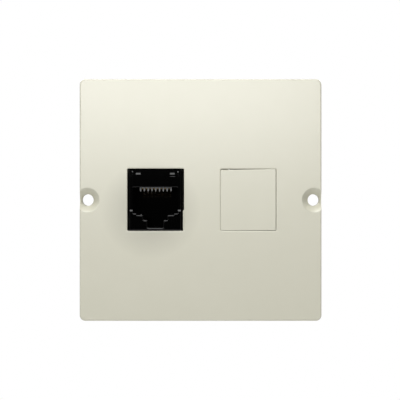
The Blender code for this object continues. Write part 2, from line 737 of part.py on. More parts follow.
def make_blank(frame, material):
    """The blank insert, a cup that is open behind."""
    half = BLANK_FACE_WIDTH / 2
    outline = insert_outline(BLANK_FACE_HALF_HEIGHT, BLANK_LENGTH)
    blank = outline_solid("blank_insert", outline, SIDE, -half, half, frame=frame, material=material)
    join(blank, *cheeks("blank", BLANK_FACE_WIDTH, BLANK_LENGTH, frame))
    inner = half - BLANK_WALL
    low = (-inner, BLANK_WALL + 0.4 * MM, -BLANK_FACE_HALF_HEIGHT + BLANK_WALL)
    high = (inner, BLANK_LENGTH + PAST, INSERT_TOP - BLANK_WALL)
    cut(blank, block("blank_hollow", low, high, frame))
    return blank


def main():
    cream = make_material("cream_plastic", (0.69, 0.68, 0.57), 0.35)
    black = make_material("black_plastic", (0.012, 0.012, 0.013), 0.35)
    natural = make_material("natural_nylon", (0.42, 0.42, 0.42), 0.45)
    gold = make_material("gold_plate", (0.83, 0.60, 0.26), 0.25, 1.0)
    tinned = make_material("tinned_bronze", (0.72, 0.68, 0.62), 0.3, 1.0)
    resin = make_material("board_resin", (0.02, 0.20, 0.09), 0.4)
    milky = make_material("milky_plastic", (0.78, 0.78, 0.75), 0.4)
    paper = make_material("label_film", (0.85, 0.85, 0.83), 0.5)

    make_plate(cream)

    jack = make_frame("jack_frame", (JACK_X + JACK_SHIFT, -PLATE_DEPTH, 0))
    make_housing(jack, black)
    make_latch("jack_latch", jack, black)
    make_carrier(jack, natural)
    make_contacts(jack, gold)
    make_board(jack, resin)
    make_clips(jack, tinned)
    make_block(jack, black)
    for side, label in ((-1, "left"), (1, "right")):
        make_cap(f"wire_cap_{label}", side, jack, milky)
        make_label(f"wiring_label_{label}", side, jack, paper)

    blank = make_frame("blank_frame", (BLANK_X + BLANK_SHIFT, -PLATE_DEPTH, 0), BLANK_LEAN)
    make_blank(blank, cream)
    make_latch("blank_latch", blank, cream)


clear_scene()
PARTS = make_collection("data_outlet_plate")
HELPERS = make_collection("cutters", hidden=True)
main()
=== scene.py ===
"""The look of a two-port data outlet plate: materials, fine shapes, studio light and camera.

Positions are in metres in the row frame: +X right, +Z up, +Y into the wall, origin in the wall plane.
"""

import math

import bmesh
import bpy
from mathutils import Matrix, Vector


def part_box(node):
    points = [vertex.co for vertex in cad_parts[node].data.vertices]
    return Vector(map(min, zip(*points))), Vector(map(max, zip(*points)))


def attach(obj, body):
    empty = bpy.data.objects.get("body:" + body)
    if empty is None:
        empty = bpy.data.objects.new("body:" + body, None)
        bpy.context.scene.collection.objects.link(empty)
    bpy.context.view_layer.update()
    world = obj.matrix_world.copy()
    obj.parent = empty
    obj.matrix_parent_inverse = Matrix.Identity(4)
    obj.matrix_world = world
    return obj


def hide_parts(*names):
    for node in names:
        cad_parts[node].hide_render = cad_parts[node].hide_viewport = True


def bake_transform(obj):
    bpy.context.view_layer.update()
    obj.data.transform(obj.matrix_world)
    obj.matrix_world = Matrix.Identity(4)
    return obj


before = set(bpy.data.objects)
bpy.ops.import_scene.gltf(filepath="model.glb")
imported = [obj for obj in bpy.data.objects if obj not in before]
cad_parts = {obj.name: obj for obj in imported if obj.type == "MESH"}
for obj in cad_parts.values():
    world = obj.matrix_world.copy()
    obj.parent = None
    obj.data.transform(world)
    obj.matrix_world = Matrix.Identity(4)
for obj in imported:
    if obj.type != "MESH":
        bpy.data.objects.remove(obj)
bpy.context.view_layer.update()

MM = 0.001
SCENE = bpy.context.scene

# ---- the frame's own places ----

PLATE_LOW, PLATE_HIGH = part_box("front_plate")
PLATE_FRONT = PLATE_LOW.y
PLATE_SIDE = PLATE_HIGH.x - PLATE_LOW.x
COLLAR_BACK = PLATE_HIGH.y


def middle_x(node):
    """The middle of a node, left to right."""
    low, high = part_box(node)
    return (low.x + high.x) / 2


# ---- materials ----

CLOUDS = 9 * MM
GLOSS_PATCHES = 2.2 * MM
METAL_STAINS = 1.5 * MM
# The dark colour blended into the cream as painted shade round the jack.
PAINTED_SHADE = (0.05, 0.05, 0.045)


def link(tree, source, target):
    tree.links.new(source, target)


def noise(tree, coordinates, scale, detail=3.0, roughness=0.55):
    """Soft random clouds from 0 to 1, scale of them to a metre."""
    made = tree.nodes.new("ShaderNodeTexNoise")
    made.inputs["Scale"].default_value = scale
    made.inputs["Detail"].default_value = detail
    made.inputs["Roughness"].default_value = roughness
    link(tree, coordinates, made.inputs["Vector"])
    return made.outputs["Fac"]


def spread(tree, value, low, high, from_low=0.3, from_high=0.7):
    """value, whose useful range is from_low to from_high, stretched to low..high."""
    made = tree.nodes.new("ShaderNodeMapRange")
    made.inputs["From Min"].default_value = from_low
    made.inputs["From Max"].default_value = from_high
    made.inputs["To Min"].default_value = low
    made.inputs["To Max"].default_value = high
    link(tree, value, made.inputs["Value"])
    return made.outputs["Result"]


def blend_colours(tree, factor, first, second):
    """first where factor is 0 and second where it is 1; each is a colour or a socket."""
    made = tree.nodes.new("ShaderNodeMix")
    made.data_type = "RGBA"
    link(tree, factor, made.inputs["Factor"])
    for slot, colour in (("A", first), ("B", second)):
        socket = [s for s in made.inputs if s.name == slot and s.type == "RGBA"][0]
        if isinstance(colour, bpy.types.NodeSocket):
            link(tree, colour, socket)
        else:
            socket.default_value = (*colour, 1)
    return [s for s in made.outputs if s.type == "RGBA"][0]


def new_material(name):
    """A new material, with the parts of it that the others here need."""
    material = bpy.data.materials.new(name)
    material.use_nodes = True
    tree = material.node_tree
    shader = tree.nodes["Principled BSDF"]
    coordinates = tree.nodes.new("ShaderNodeTexCoord").outputs["Object"]
    return material, tree, shader, coordinates


def add_grain(tree, shader, coordinates, grain, depth):
    """Fine mould texture: bumps about grain across and depth high."""
    height = noise(tree, coordinates, 1 / grain, 2.0)
    bump = tree.nodes.new("ShaderNodeBump")
    bump.inputs["Strength"].default_value = 1.0
    bump.inputs["Distance"].default_value = depth
    link(tree, height, bump.inputs["Height"])
    link(tree, bump.outputs["Normal"], shader.inputs["Normal"])


def plastic(name, colour, tint, roughness, grain=0.4 * MM, depth=0.002 * MM, level=0.5, subsurface=0.0):
    """Moulded plastic: two close colours in soft clouds, a patchy gloss and a fine grain."""
    material, tree, shader, coordinates = new_material(name)
    clouds = spread(tree, noise(tree, coordinates, 1 / CLOUDS), 0, 1)
    link(tree, blend_colours(tree, clouds, colour, tint), shader.inputs["Base Color"])
    patches = noise(tree, coordinates, 1 / GLOSS_PATCHES)
    gloss = spread(tree, patches, roughness * 0.97, roughness * 1.04, 0.2, 0.8)
    link(tree, gloss, shader.inputs["Roughness"])
    shader.inputs["Specular IOR Level"].default_value = level
    if subsurface:
        shader.inputs["Subsurface Weight"].default_value = subsurface
        shader.inputs["Subsurface Scale"].default_value = 0.8 * MM
    add_grain(tree, shader, coordinates, grain, depth)
    return material


def metal(name, colour, tint, roughness, grain=0.15 * MM, depth=0.001 * MM):
    """Drawn or stamped metal with fine scratches along the depth of the jack."""
    material, tree, shader, coordinates = new_material(name)
    mapping = tree.nodes.new("ShaderNodeMapping")
    mapping.inputs["Scale"].default_value = (1, 0.12, 1)
    link(tree, coordinates, mapping.inputs["Vector"])
    streaks = noise(tree, mapping.outputs["Vector"], 1 / grain)
    stain = spread(tree, noise(tree, coordinates, 1 / METAL_STAINS), 0, 1)
    link(tree, blend_colours(tree, stain, colour, tint), shader.inputs["Base Color"])
    shader.inputs["Metallic"].default_value = 1.0
    link(tree, spread(tree, streaks, roughness * 0.7, roughness * 1.4), shader.inputs["Roughness"])
    bump = tree.nodes.new("ShaderNodeBump")
    bump.inputs["Distance"].default_value = depth
    link(tree, streaks, bump.inputs["Height"])
    link(tree, bump.outputs["Normal"], shader.inputs["Normal"])
    return material


def add_painted_shade(material, centre, reach, strength):
    """Painted shade round a place: an oval of reach that darkens the base colour towards its middle."""
    tree = material.node_tree
    socket = tree.nodes["Principled BSDF"].inputs["Base Color"]
    unshaded = socket.links[0].from_socket
    mapping = tree.nodes.new("ShaderNodeMapping")
    mapping.vector_type = "TEXTURE"
    mapping.inputs["Location"].default_value = centre
    mapping.inputs["Scale"].default_value = reach
    link(tree, tree.nodes.new("ShaderNodeTexCoord").outputs["Object"], mapping.inputs["Vector"])
    oval = tree.nodes.new("ShaderNodeTexGradient")
    oval.gradient_type = "SPHERICAL"
    link(tree, mapping.outputs["Vector"], oval.inputs["Vector"])
    amount = spread(tree, oval.outputs["Fac"], 0, strength, 0, 1)
    link(tree, blend_colours(tree, amount, unshaded, PAINTED_SHADE), socket)


def printed_film(name, paper, inks, first=0.14, bar=0.09, edge=0.2):
    """A wiring label: one bar of each ink across plain paper, stacked up the label's height."""
    material = plastic(name, paper, tuple(0.97 * value for value in paper), 0.45)
    tree = material.node_tree
    socket = tree.nodes["Principled BSDF"].inputs["Base Color"]
    plain = socket.links[0].from_socket
    parts = tree.nodes.new("ShaderNodeSeparateXYZ")
    link(tree, tree.nodes.new("ShaderNodeTexCoord").outputs["Generated"], parts.inputs[0])
    bars = tree.nodes.new("ShaderNodeValToRGB")
    ramp = bars.color_ramp
    ramp.interpolation = "CONSTANT"
    ramp.elements[0].color = ramp.elements[1].color = (*paper, 1)
    for i, ink in enumerate(inks):
        start = first + 2 * i * bar
        ramp.elements.new(start).color = (*ink, 1)
        ramp.elements.new(start + bar).color = (*paper, 1)
    link(tree, parts.outputs["Z"], bars.inputs["Fac"])
    width = tree.nodes.new("ShaderNodeMath")
    width.operation = "COMPARE"
    width.inputs[1].default_value = 0.5
    width.inputs[2].default_value = 0.5 - edge
    link(tree, parts.outputs["Y"], width.inputs[0])
    link(tree, blend_colours(tree, width.outputs[0], plain, bars.outputs["Color"]), socket)
    return material


CREAM_COLOURS = (0.618, 0.604, 0.500), (0.609, 0.596, 0.491)
CREAM = plastic("cream moulding", *CREAM_COLOURS, 0.25, depth=0.0008 * MM, level=0.6)
# Painted shade round the jack's port, strongest to its left at middle height: the cream is darkened where the
# jack would shade it.
SHADE_CENTRE, SHADE_REACH = (-13.2 * MM, PLATE_FRONT, -2.5 * MM), (13.4 * MM, 1, 13.2 * MM)
add_painted_shade(CREAM, SHADE_CENTRE, SHADE_REACH, 0.42)
CREAM_INSERT = plastic("cream insert", *CREAM_COLOURS, 0.25, depth=0.0008 * MM, level=0.6)
BLACK = plastic("black moulding", (0.0005, 0.0005, 0.0005), (0.0008, 0.0008, 0.0008), 0.05,
                depth=0.0002 * MM, level=0.3)
NYLON = plastic("nylon moulding", (0.40, 0.40, 0.40), (0.36, 0.36, 0.355), 0.4, grain=0.2 * MM)
MILKY = plastic("milky moulding", (0.62, 0.63, 0.62), (0.57, 0.58, 0.575), 0.3, subsurface=0.25)
GOLD = metal("gold contact", (0.80, 0.56, 0.23), (0.74, 0.50, 0.19), 0.15)
TINNED = metal("tinned clip", (0.66, 0.62, 0.56), (0.58, 0.54, 0.48), 0.3)
RESIN = plastic("solder mask", (0.012, 0.16, 0.06), (0.016, 0.19, 0.075), 0.3)
FILM = printed_film("printed film", (0.72, 0.72, 0.70),
                    ((0.03, 0.12, 0.45), (0.80, 0.25, 0.03), (0.04, 0.33, 0.10), (0.20, 0.09, 0.04)))

# ---- shapes ----
# Shapes are drawn in millimetres in a frame of their own, with y going back from the plate's face, and
# settle() places them in metres. PAST is how far a cutter runs on into the open, or a joined piece into
# its neighbour. FINE and SOFT are rims. HELPERS are the cutters and joined pieces of the shape in hand.

HELPERS = []
FRONT, SIDE = "front", "side"
PAST = 0.5
FINE, SOFT = (0.1, 0.1), (0.25, 0.25)
NEARLY_STRAIGHT = math.radians(86)
SMOOTH_ANGLE = 28
FLAT_ANGLE, EDGE_ANGLE = 0.5, 32
SEAM = 0.0005 * MM


def to_object(name, bm):
    """The finished bmesh as an object in the scene."""
    mesh = bpy.data.meshes.new(name)
    bmesh.ops.recalc_face_normals(bm, faces=bm.faces)
    bm.to_mesh(mesh)
    bm.free()
    obj = bpy.data.objects.new(name, mesh)
    SCENE.collection.objects.link(obj)
    return obj


def closed_body(name, bm, rings):
    """A body over rings of vertices, each joined to the next, with both ends closed."""
    for a, b in zip(rings, rings[1:]):
        for i in range(len(a)):
            j = (i + 1) % len(a)
            bm.faces.new((a[i], a[j], b[j], b[i]))
    bm.faces.new(rings[0])
    bm.faces.new(reversed(rings[-1]))
    return to_object(name, bm)


def rectangle(width, height, centre=(0, 0)):
    """Its four corners, anticlockwise."""
    u, v = centre
    return [(u - width / 2, v - height / 2), (u + width / 2, v - height / 2),
            (u + width / 2, v + height / 2), (u - width / 2, v + height / 2)]


def mirrored(right):
    """An outline from its right half, which runs from bottom to top."""
    return right + [(-u, v) for u, v in reversed(right)]


def signed_area(outline):
    return sum(a[0] * b[1] - b[0] * a[1] for a, b in zip(outline, outline[1:] + outline[:1])) / 2


def filleted(outline, radius, steps=4):
    """The outline with an arc of radius at each corner, anticlockwise."""
    if signed_area(outline) < 0:
        outline = outline[::-1]
    made = []
    for i, corner in enumerate(outline):
        corner = Vector(corner)
        before = (Vector(outline[i - 1]) - corner).normalized()
        after = (Vector(outline[(i + 1) % len(outline)]) - corner).normalized()
        half = before.angle(after) / 2
        if half > NEARLY_STRAIGHT or not radius:
            made.append(tuple(corner))
            continue
        reach = radius / math.tan(half)
        centre = corner + (before + after).normalized() * radius / math.sin(half)
        start, end = corner + before * reach - centre, corner + after * reach - centre
        turn = start.angle_signed(end)
        for step in range(steps + 1):
            angle = -turn * step / steps
            made.append((
                centre.x + start.x * math.cos(angle) - start.y * math.sin(angle),
                centre.y + start.x * math.sin(angle) + start.y * math.cos(angle),
            ))
    return made


def grown(outline, distance):
    """An anticlockwise outline moved outwards by distance."""
    made = []
    for i, point in enumerate(outline):
        before = (Vector(point) - Vector(outline[i - 1])).normalized()
        after = (Vector(outline[(i + 1) % len(outline)]) - Vector(point)).normalized()
        first, second = Vector((before.y, -before.x)), Vector((after.y, -after.x))
        shift = (first + second) / (1 + first.dot(second)) * distance
        made.append((point[0] + shift.x, point[1] + shift.y))
    return made


def in_space(plane, u, v, w):
    """A point from an outline's (u, v) and its place w along the extrusion."""
    return (u, w, v) if plane == FRONT else (w, u, v)


def moulded(name, outline, plane, start, end, corner=0.12, first=(0, 0), last=(0, 0), steps=4):
    """An outline extruded from start to end, with rounded corners and rounded rims.

    first and last are a rim's (width, depth). A negative width flares outwards, which on a cutter
    rounds the rim of the hole that it cuts.
    """
    least = 0.01
    corner = max(corner, abs(first[0]) + least, abs(last[0]) + least)
    outline = filleted(outline, corner if corner > least else 0, steps)

    def rim(edge, place, inwards):
        width, depth = edge
        made = []
        if width < 0:
            made.append((place - inwards * PAST, -width))
        for i in range(steps + 1) if depth else [steps]:
            angle = math.pi / 2 * i / steps
            grow = -width * (1 - math.sin(angle))
            made.append((place + inwards * depth * (1 - math.cos(angle) if depth else 0), grow))
        return made

    bm = bmesh.new()
    rings = []
    for place, grow in rim(first, start, 1) + rim(last, end, -1)[::-1]:
        ring = grown(outline, grow) if grow else outline
        rings.append([bm.verts.new(in_space(plane, u, v, place)) for u, v in ring])
    return closed_body(name, bm, rings)


def turned(name, profile, centre, steps=96):
    """A body turned about an axis along Y, from (radius, y) points between two on the axis."""
    bm = bmesh.new()
    x, z = centre
    start, end = (bm.verts.new((x, y, z)) for y in (profile[0][1], profile[-1][1]))
    angles = [2 * math.pi * i / steps for i in range(steps)]
    rings = []
    for radius, y in profile[1:-1]:
        rings.append([bm.verts.new((x + radius * math.cos(a), y, z + radius * math.sin(a))) for a in angles])
    for i in range(steps):
        j = (i + 1) % steps
        bm.faces.new((start, rings[0][i], rings[0][j]))
        bm.faces.new((end, rings[-1][j], rings[-1][i]))
        for a, b in zip(rings, rings[1:]):
            bm.faces.new((a[i], b[i], b[j], a[j]))
    return to_object(name, bm)


def stack(name, sections):
    """A body through level rectangles, each (z, (x low, x high), (y low, y high))."""
    bm = bmesh.new()
    rings = []
    for z, (x0, x1), (y0, y1) in sections:
        rings.append([bm.verts.new((x, y, z)) for x, y in ((x0, y0), (x1, y0), (x1, y1), (x0, y1))])
    return closed_body(name, bm, rings)


def combine(target, operation, others):
    """A Boolean modifier on target for each of the others."""
    for other in others:
        modifier = target.modifiers.new(other.name, "BOOLEAN")
        modifier.operation = operation
        modifier.object = other
        HELPERS.append(other)


def join(target, *others):
    combine(target, "UNION", others)


def cut(target, *others):
    combine(target, "DIFFERENCE", others)


def settle(obj, place, material, angle=SMOOTH_ANGLE):
    """Applies an object's modifiers, puts it in its place in metres and shades it smooth up to angle."""
    graph = bpy.context.evaluated_depsgraph_get()
    mesh = bpy.data.meshes.new_from_object(obj.evaluated_get(graph))
    obj.modifiers.clear()
    obj.data = mesh
    while HELPERS:
        bpy.data.objects.remove(HELPERS.pop())
    mesh.transform(place @ Matrix.Scale(MM, 4))
    mesh.materials.clear()
    mesh.materials.append(material)
    shade(obj, angle)


def shade(obj, angle=SMOOTH_ANGLE):
    """Smooth shading that stays crisp at edges sharper than angle, in degrees."""
    obj.data.shade_smooth()
    obj.data.set_sharp_from_angle(angle=math.radians(angle))
    weighted = obj.modifiers.new("Even normals", "WEIGHTED_NORMAL")
    weighted.keep_sharp = True


def finish(obj, body, slot, *nodes):
    """The piece rides on body and takes the place of nodes. slot is not used."""
    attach(obj, body)
    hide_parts(*nodes)


def soften(name, width, material, segments=3):
    """A CAD node whose shape is right, with its edges rounded to width and a finished material."""
    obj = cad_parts[name]
    obj.data.materials.clear()
    obj.data.materials.append(material)
    weld = obj.modifiers.new("Close the mesh", "WELD")
    weld.merge_threshold = SEAM
    flat = obj.modifiers.new("Merge flats", "DECIMATE")
    flat.decimate_type = "DISSOLVE"
    flat.angle_limit = math.radians(FLAT_ANGLE)
    bevel = obj.modifiers.new("Round edges", "BEVEL")
    bevel.width = width
    bevel.segments = segments
    bevel.limit_method = "ANGLE"
    bevel.angle_limit = math.radians(EDGE_ANGLE)
    shade(obj)


# ---- camera ----

SENSOR, LENS = 36.0, 102.1
CAMERA_DISTANCE = 0.300
CAMERA_X = -0.16 * MM
CLIP_START = 0.01


def make_camera():
    """Square on to the plate, as in the photo."""
    camera = bpy.data.objects.new("camera", bpy.data.cameras.new("camera"))
    SCENE.collection.objects.link(camera)
    camera.data.sensor_width = SENSOR
    camera.data.lens = LENS
    camera.location = (CAMERA_X, PLATE_FRONT - CAMERA_DISTANCE, 0)
    camera.rotation_euler = (math.radians(90), 0, 0)
    camera.data.clip_start = CLIP_START
    SCENE.camera = camera


make_camera()

# ---- plate ----

PLATE = Matrix.Translation((0, PLATE_FRONT, 0))
SIDE_LENGTH = PLATE_SIDE / MM
DEPTH = -PLATE_FRONT / MM
SKIN = 2.2
RIM_WALL = 1.6
INNER = SIDE_LENGTH - 2 * RIM_WALL
RIB_WIDTH, RIB_DEPTH = 1.2, 3.6
BOSS_WIDTH, BOSS_HEIGHT, BOSS_INSET = 4.0, 9.2, 2.8
SCREW_X = 30.0
SCREW_HOLE, COUNTERSINK = 1.55, 3.2
EJECTORS = (-24, 24), (24, 24), (-24, -24), (24, -24), (0, 20), (0, -20)
EJECTOR_RADIUS, EJECTOR_DEPTH = 1.3, 0.12

# A port is its centre (x, z) and its (width, height).
JACK_PORT = ((-11.89, 0.07), (15.02, 16.5))
BLANK_PORT = ((12.63, 0.03), (14.8, 16.36))
PORT_WEAR = (-0.35, 0.1)
COLLAR_WIDTH, COLLAR_WALL = 14.9, 1.5
COLLAR_FLOOR, COLLAR_ROOF = -10.3, 10.9
COLLAR_DEPTH = (COLLAR_BACK - PLATE_FRONT) / MM
POCKET_Z = (COLLAR_ROOF + COLLAR_FLOOR) / 2
POCKET_HEIGHT = COLLAR_ROOF - COLLAR_FLOOR
LOWER_LIP, UPPER_LIP = -8.4, 8.7
LIP_FRONT = 8.0


def plate_back():
    """The ribs, bosses and collars behind the plate's skin."""
    start = SKIN - PAST
    length = INNER + 2 * PAST
    made = []
    for side in (-1, 1):
        boss = rectangle(BOSS_WIDTH, BOSS_HEIGHT, (side * (SIDE_LENGTH / 2 - BOSS_INSET), 0))
        made.append(moulded(f"boss{side}", boss, FRONT, start, DEPTH, 0.4, last=(0.12, 0.12)))
    for z in (COLLAR_ROOF + RIB_WIDTH / 2, COLLAR_FLOOR - RIB_WIDTH / 2):
        rib = rectangle(length, RIB_WIDTH, (0, z))
        made.append(moulded(f"rib{z}", rib, FRONT, start, RIB_DEPTH, 0.1, last=SOFT))
    for (x, _), _ in (JACK_PORT, BLANK_PORT):
        rib = rectangle(RIB_WIDTH, length, (x, 0))
        made.append(moulded(f"rib{x}", rib, FRONT, start, RIB_DEPTH, 0.1, last=SOFT))
        collar = rectangle(COLLAR_WIDTH + 2 * COLLAR_WALL, POCKET_HEIGHT + 2 * COLLAR_WALL, (x, POCKET_Z))
        made.append(moulded(f"collar{x}", collar, FRONT, start, COLLAR_DEPTH, 0.7, last=SOFT))
    made.append(moulded("middle", rectangle(1.6, 21), FRONT, start, DEPTH, 0.2, last=(0.15, 0.15)))
    return made


def port(name, place, size):
    """What a port cuts: the worn front rim, the pocket behind it and the way out past the lips."""
    x, width = place[0], size[0]
    overlap = 0.1
    pocket = rectangle(width, POCKET_HEIGHT, (x, POCKET_Z))
    way_out = rectangle(width, UPPER_LIP - LOWER_LIP, (x, (LOWER_LIP + UPPER_LIP) / 2))
    out = LIP_FRONT - overlap, COLLAR_DEPTH + PAST
    return [
        moulded(f"{name}_mouth", rectangle(*size, place), FRONT, 0, SKIN + overlap, 0.35, first=PORT_WEAR),
        moulded(f"{name}_pocket", pocket, FRONT, SKIN, LIP_FRONT, 0.1),
        moulded(f"{name}_way_out", way_out, FRONT, *out, 0.1, last=(-0.2, 0.2)),
    ]


def screw_hole(side):
    """A through hole with a countersink, whose rim is a little worn."""
    cone = COUNTERSINK - SCREW_HOLE
    profile = [(0, -PAST), (COUNTERSINK + 0.14, -PAST), (COUNTERSINK + 0.14, 0), (COUNTERSINK, 0.04),
               (COUNTERSINK - 0.1, 0.12), (SCREW_HOLE + 0.05, cone - 0.05), (SCREW_HOLE, cone + 0.05),
               (SCREW_HOLE, DEPTH + PAST), (0, DEPTH + PAST)]
    return turned(f"screw_hole{side}", profile, (side * SCREW_X, 0))


def make_plate():
    """The front plate: skin and rim, ribs, ports, screw holes and the marks of the ejector pins."""
    outline = rectangle(SIDE_LENGTH, SIDE_LENGTH)
    plate = moulded("faceplate", outline, FRONT, 0, DEPTH, 1.5, (0.42, 0.38), (0.15, 0.15), 8)
    cut(plate, moulded("hollow", rectangle(INNER, INNER), FRONT, SKIN, DEPTH + PAST, 0.5))
    join(plate, *plate_back())
    cut(plate, *port("jack", *JACK_PORT), *port("blank", *BLANK_PORT))
    cut(plate, screw_hole(-1), screw_hole(1))
    mark = SKIN - EJECTOR_DEPTH
    pin = [(0, mark), (EJECTOR_RADIUS, mark), (EJECTOR_RADIUS, DEPTH), (0, DEPTH)]
    for x, z in EJECTORS:
        cut(plate, turned(f"ejector{x}_{z}", pin, (x, z), 48))
    guide = [(-4.66, -8.5), (-4.2, -8.5), (-4.2, -2.3), (-4.5, -2.62), (-4.66, -3.0)]
    join(plate, moulded("guide", guide, FRONT, 0.12, SKIN + 1, 0.04, first=(0.05, 0.05)))
    settle(plate, PLATE, CREAM)
    finish(plate, "outlet", "cream_plastic", "front_plate")


make_plate()

# ---- what the two inserts share ----

BODY_FRONT, FACE_BACK = 1.2, 2.6
HOOK_BACK, SHOULDER_FRONT = 7.7, 10
HOOK_HEIGHT = 1.6
GROOVE_Z = -7.85
CHEEK_INNER, CHEEK_FRONT = 4.9, 10.2
LEVER_HALF, RIDGE_HALF = 4.6, 3.6
RIDGES = 3


def insert_body(name, width, bottom, length, top=5.5, shoulder=-9.4):
    """The body behind an insert's face: the fixed hook below, the groove for the lip and the shoulder."""
    hook = bottom - HOOK_HEIGHT
    outline = [(BODY_FRONT, bottom), (BODY_FRONT, top), (length, top), (length, shoulder),
               (SHOULDER_FRONT, shoulder), (SHOULDER_FRONT, GROOVE_Z), (HOOK_BACK, GROOVE_Z),
               (HOOK_BACK, hook), (6, hook), (3.6, bottom)]
    rim = (0.12, 0.12)
    return moulded(name, outline, SIDE, -width / 2, width / 2, 0.12, rim, rim)


def make_cheeks(name, width, back):
    """The two blocks on either side of the latch."""
    made = []
    rim = (0.2, 0.2)
    for side in (-1, 1):
        cheek = rectangle(width / 2 - CHEEK_INNER, 4.2, (side * (width / 2 + CHEEK_INNER) / 2, 6.6))
        made.append(moulded(f"{name}_cheek{side}", cheek, FRONT, CHEEK_FRONT, back, 0.2, rim, rim))
    return made


def make_latch(node_name, place, material, slot):
    """The sprung lever: a thin hinge, the catch, and the tab with grip ridges."""
    outline = [(2.9, 6.9), (2.9, 7.9), (4.4, 8.0), (6.9, 9.6), (7.5, 9.6), (7.65, 8.2), (9.95, 8.2),
               (9.95, 9.5), (10.7, 10.0), (14.6, 10.7), (15.2, 10.2), (15.0, 9.4), (10.9, 8.7), (10.2, 7.15),
               (7.0, 6.95)]
    rim = (0.15, 0.15)
    latch = moulded(f"{node_name}_lever", outline, SIDE, -LEVER_HALF, LEVER_HALF, 0.1, rim, rim)
    tab_y, tab_z, tab_slope = 10.7, 9.75, 0.18
    for i in range(RIDGES):
        y = 11.6 + i
        ridge = rectangle(0.45, 1.2, (y, tab_z + (y - tab_y) * tab_slope))
        join(latch, moulded(f"ridge{i}", ridge, SIDE, -RIDGE_HALF, RIDGE_HALF, 0.1, FINE, FINE))
    settle(latch, place, material)
    finish(latch, node_name, slot, node_name)


# ---- jack ----

JACK = Matrix.Translation((middle_x("jack_housing"), PLATE_FRONT, 0))
CONTACTS = 8
PITCH = 1.016
FACE = (13.75, 16.0)
FLANGE = (14.5, 15.9)
FRAME_X = 6.36
REAR_FRONT, REAR_BACK = 10.2, 29.0
BEAD_X, BEAD_SIZE = 7.47, 0.5
WIRE_RADIUS = 0.175
TAIL_ROWS = (17.2, 19.4)


def contact_x(i):
    """A contact's place across the jack, counted from 0. A half step off is a gap between two."""
    return (i - (CONTACTS - 1) / 2) * PITCH


def jack_face():
    """The face and its flange, with what stands proud of it: a brow, two ridges and an underline."""
    face = moulded("jack_shell", rectangle(*FACE), FRONT, 0, FACE_BACK, 0.3, (0.26, 0.22), FINE)
    join(face, moulded("flange", rectangle(*FLANGE), FRONT, 0.4, FACE_BACK, 0.3, FINE, FINE))
    join(face, moulded("brow", rectangle(13.4, 0.6, (0, 7.74)), FRONT, -0.01, PAST, 0.02))
    for side in (-1, 1):
        ridge = rectangle(0.4, 0.95, (side * 6.02, 7.2))
        join(face, moulded(f"corner_ridge{side}", ridge, FRONT, -0.05, PAST, 0.05, FINE))
    join(face, moulded("underline", rectangle(1.4, 0.2, (4.55, 6.2)), FRONT, -0.05, PAST, 0.05, (0.07, 0.07)))
    return face


def cavity():
    """What is cut from the housing: the plug's way in, in steps that narrow downwards, and the rooms behind.

    On the face there are also a shallow frame, an icon and a nick on each side.
    """
    right = [(2.1, -7.4), (2.1, -5.35), (3.2, -5.35), (3.2, -4.0), (4.9, -4.0), (4.9, -3.55), (5.95, -3.55),
             (5.95, 3.36)]
    made = [moulded("plug_way", mirrored(right), FRONT, 0, 13.0, 0.1, first=(-0.26, 0.22))]
    made.append(moulded("clip_room", rectangle(6.4, 7.4, (0, -3.7)), FRONT, 1.6, 12.99, 0.05))
    made.append(moulded("carrier_room", rectangle(10.9, 1.69, (0, 4.105)), FRONT, 3.1, 15.6, 0.05))
    made.append(moulded("tail_room", rectangle(12.4, 6.0, (0, 3.0)), FRONT, 13.8, 27.4, 0.2))
    for side in (-1, 1):
        recess = rectangle(0.72, 8.9, (side * FRAME_X, 1.85))
        made.append(moulded(f"frame{side}", recess, FRONT, 0, 0.25, 0.08, first=(-0.06, 0.06)))
        for name, x, z, half in (("icon", 4.5, 6.97, 0.62), ("nick", FRAME_X, -2.78, 0.36)):
            ramp = [(-0.3, z - 0.75), (0.257, z + 0.225), (0.2, z + 0.4), (-0.3, z + 0.6)]
            made.append(moulded(f"{name}{side}", ramp, SIDE, side * x - half, side * x + half, 0.03))
    return made


def make_housing():
    """The black housing: its face, the clip-in body and the wider rear, less the cavity."""
    housing = jack_face()
    join(housing, insert_body("jack_body", 14.1, -7.97, 28.5, top=5.2, shoulder=-9.2))
    rear = rectangle(15.0, 14.9, (0, -1.95))
    join(housing, moulded("rear_body", rear, FRONT, REAR_FRONT, REAR_BACK, 0.25, SOFT, SOFT))
    join(housing, *make_cheeks("jack", 14.97, 15.8))
    for side in (-1, 1):
        bump = [(side * x, z) for x, z in ((7.0, 2.0), (8.15, 2.15), (8.15, 2.5), (7.5, 3.4), (7.0, 3.4))]
        join(housing, moulded(f"bump{side}", bump, FRONT, 21.6, 23.4, 0.08, FINE, FINE))
        for z in (-8.2, 4.6):
            bead = rectangle(BEAD_SIZE, BEAD_SIZE, (side * BEAD_X, z))
            join(housing, moulded(f"bead{side}_{z}", bead, FRONT, 11.4, 27.8, 0.12, FINE, FINE))
    cut(housing, *cavity())
    settle(housing, JACK, BLACK)
    finish(housing, "outlet", "black_plastic", "jack_housing")


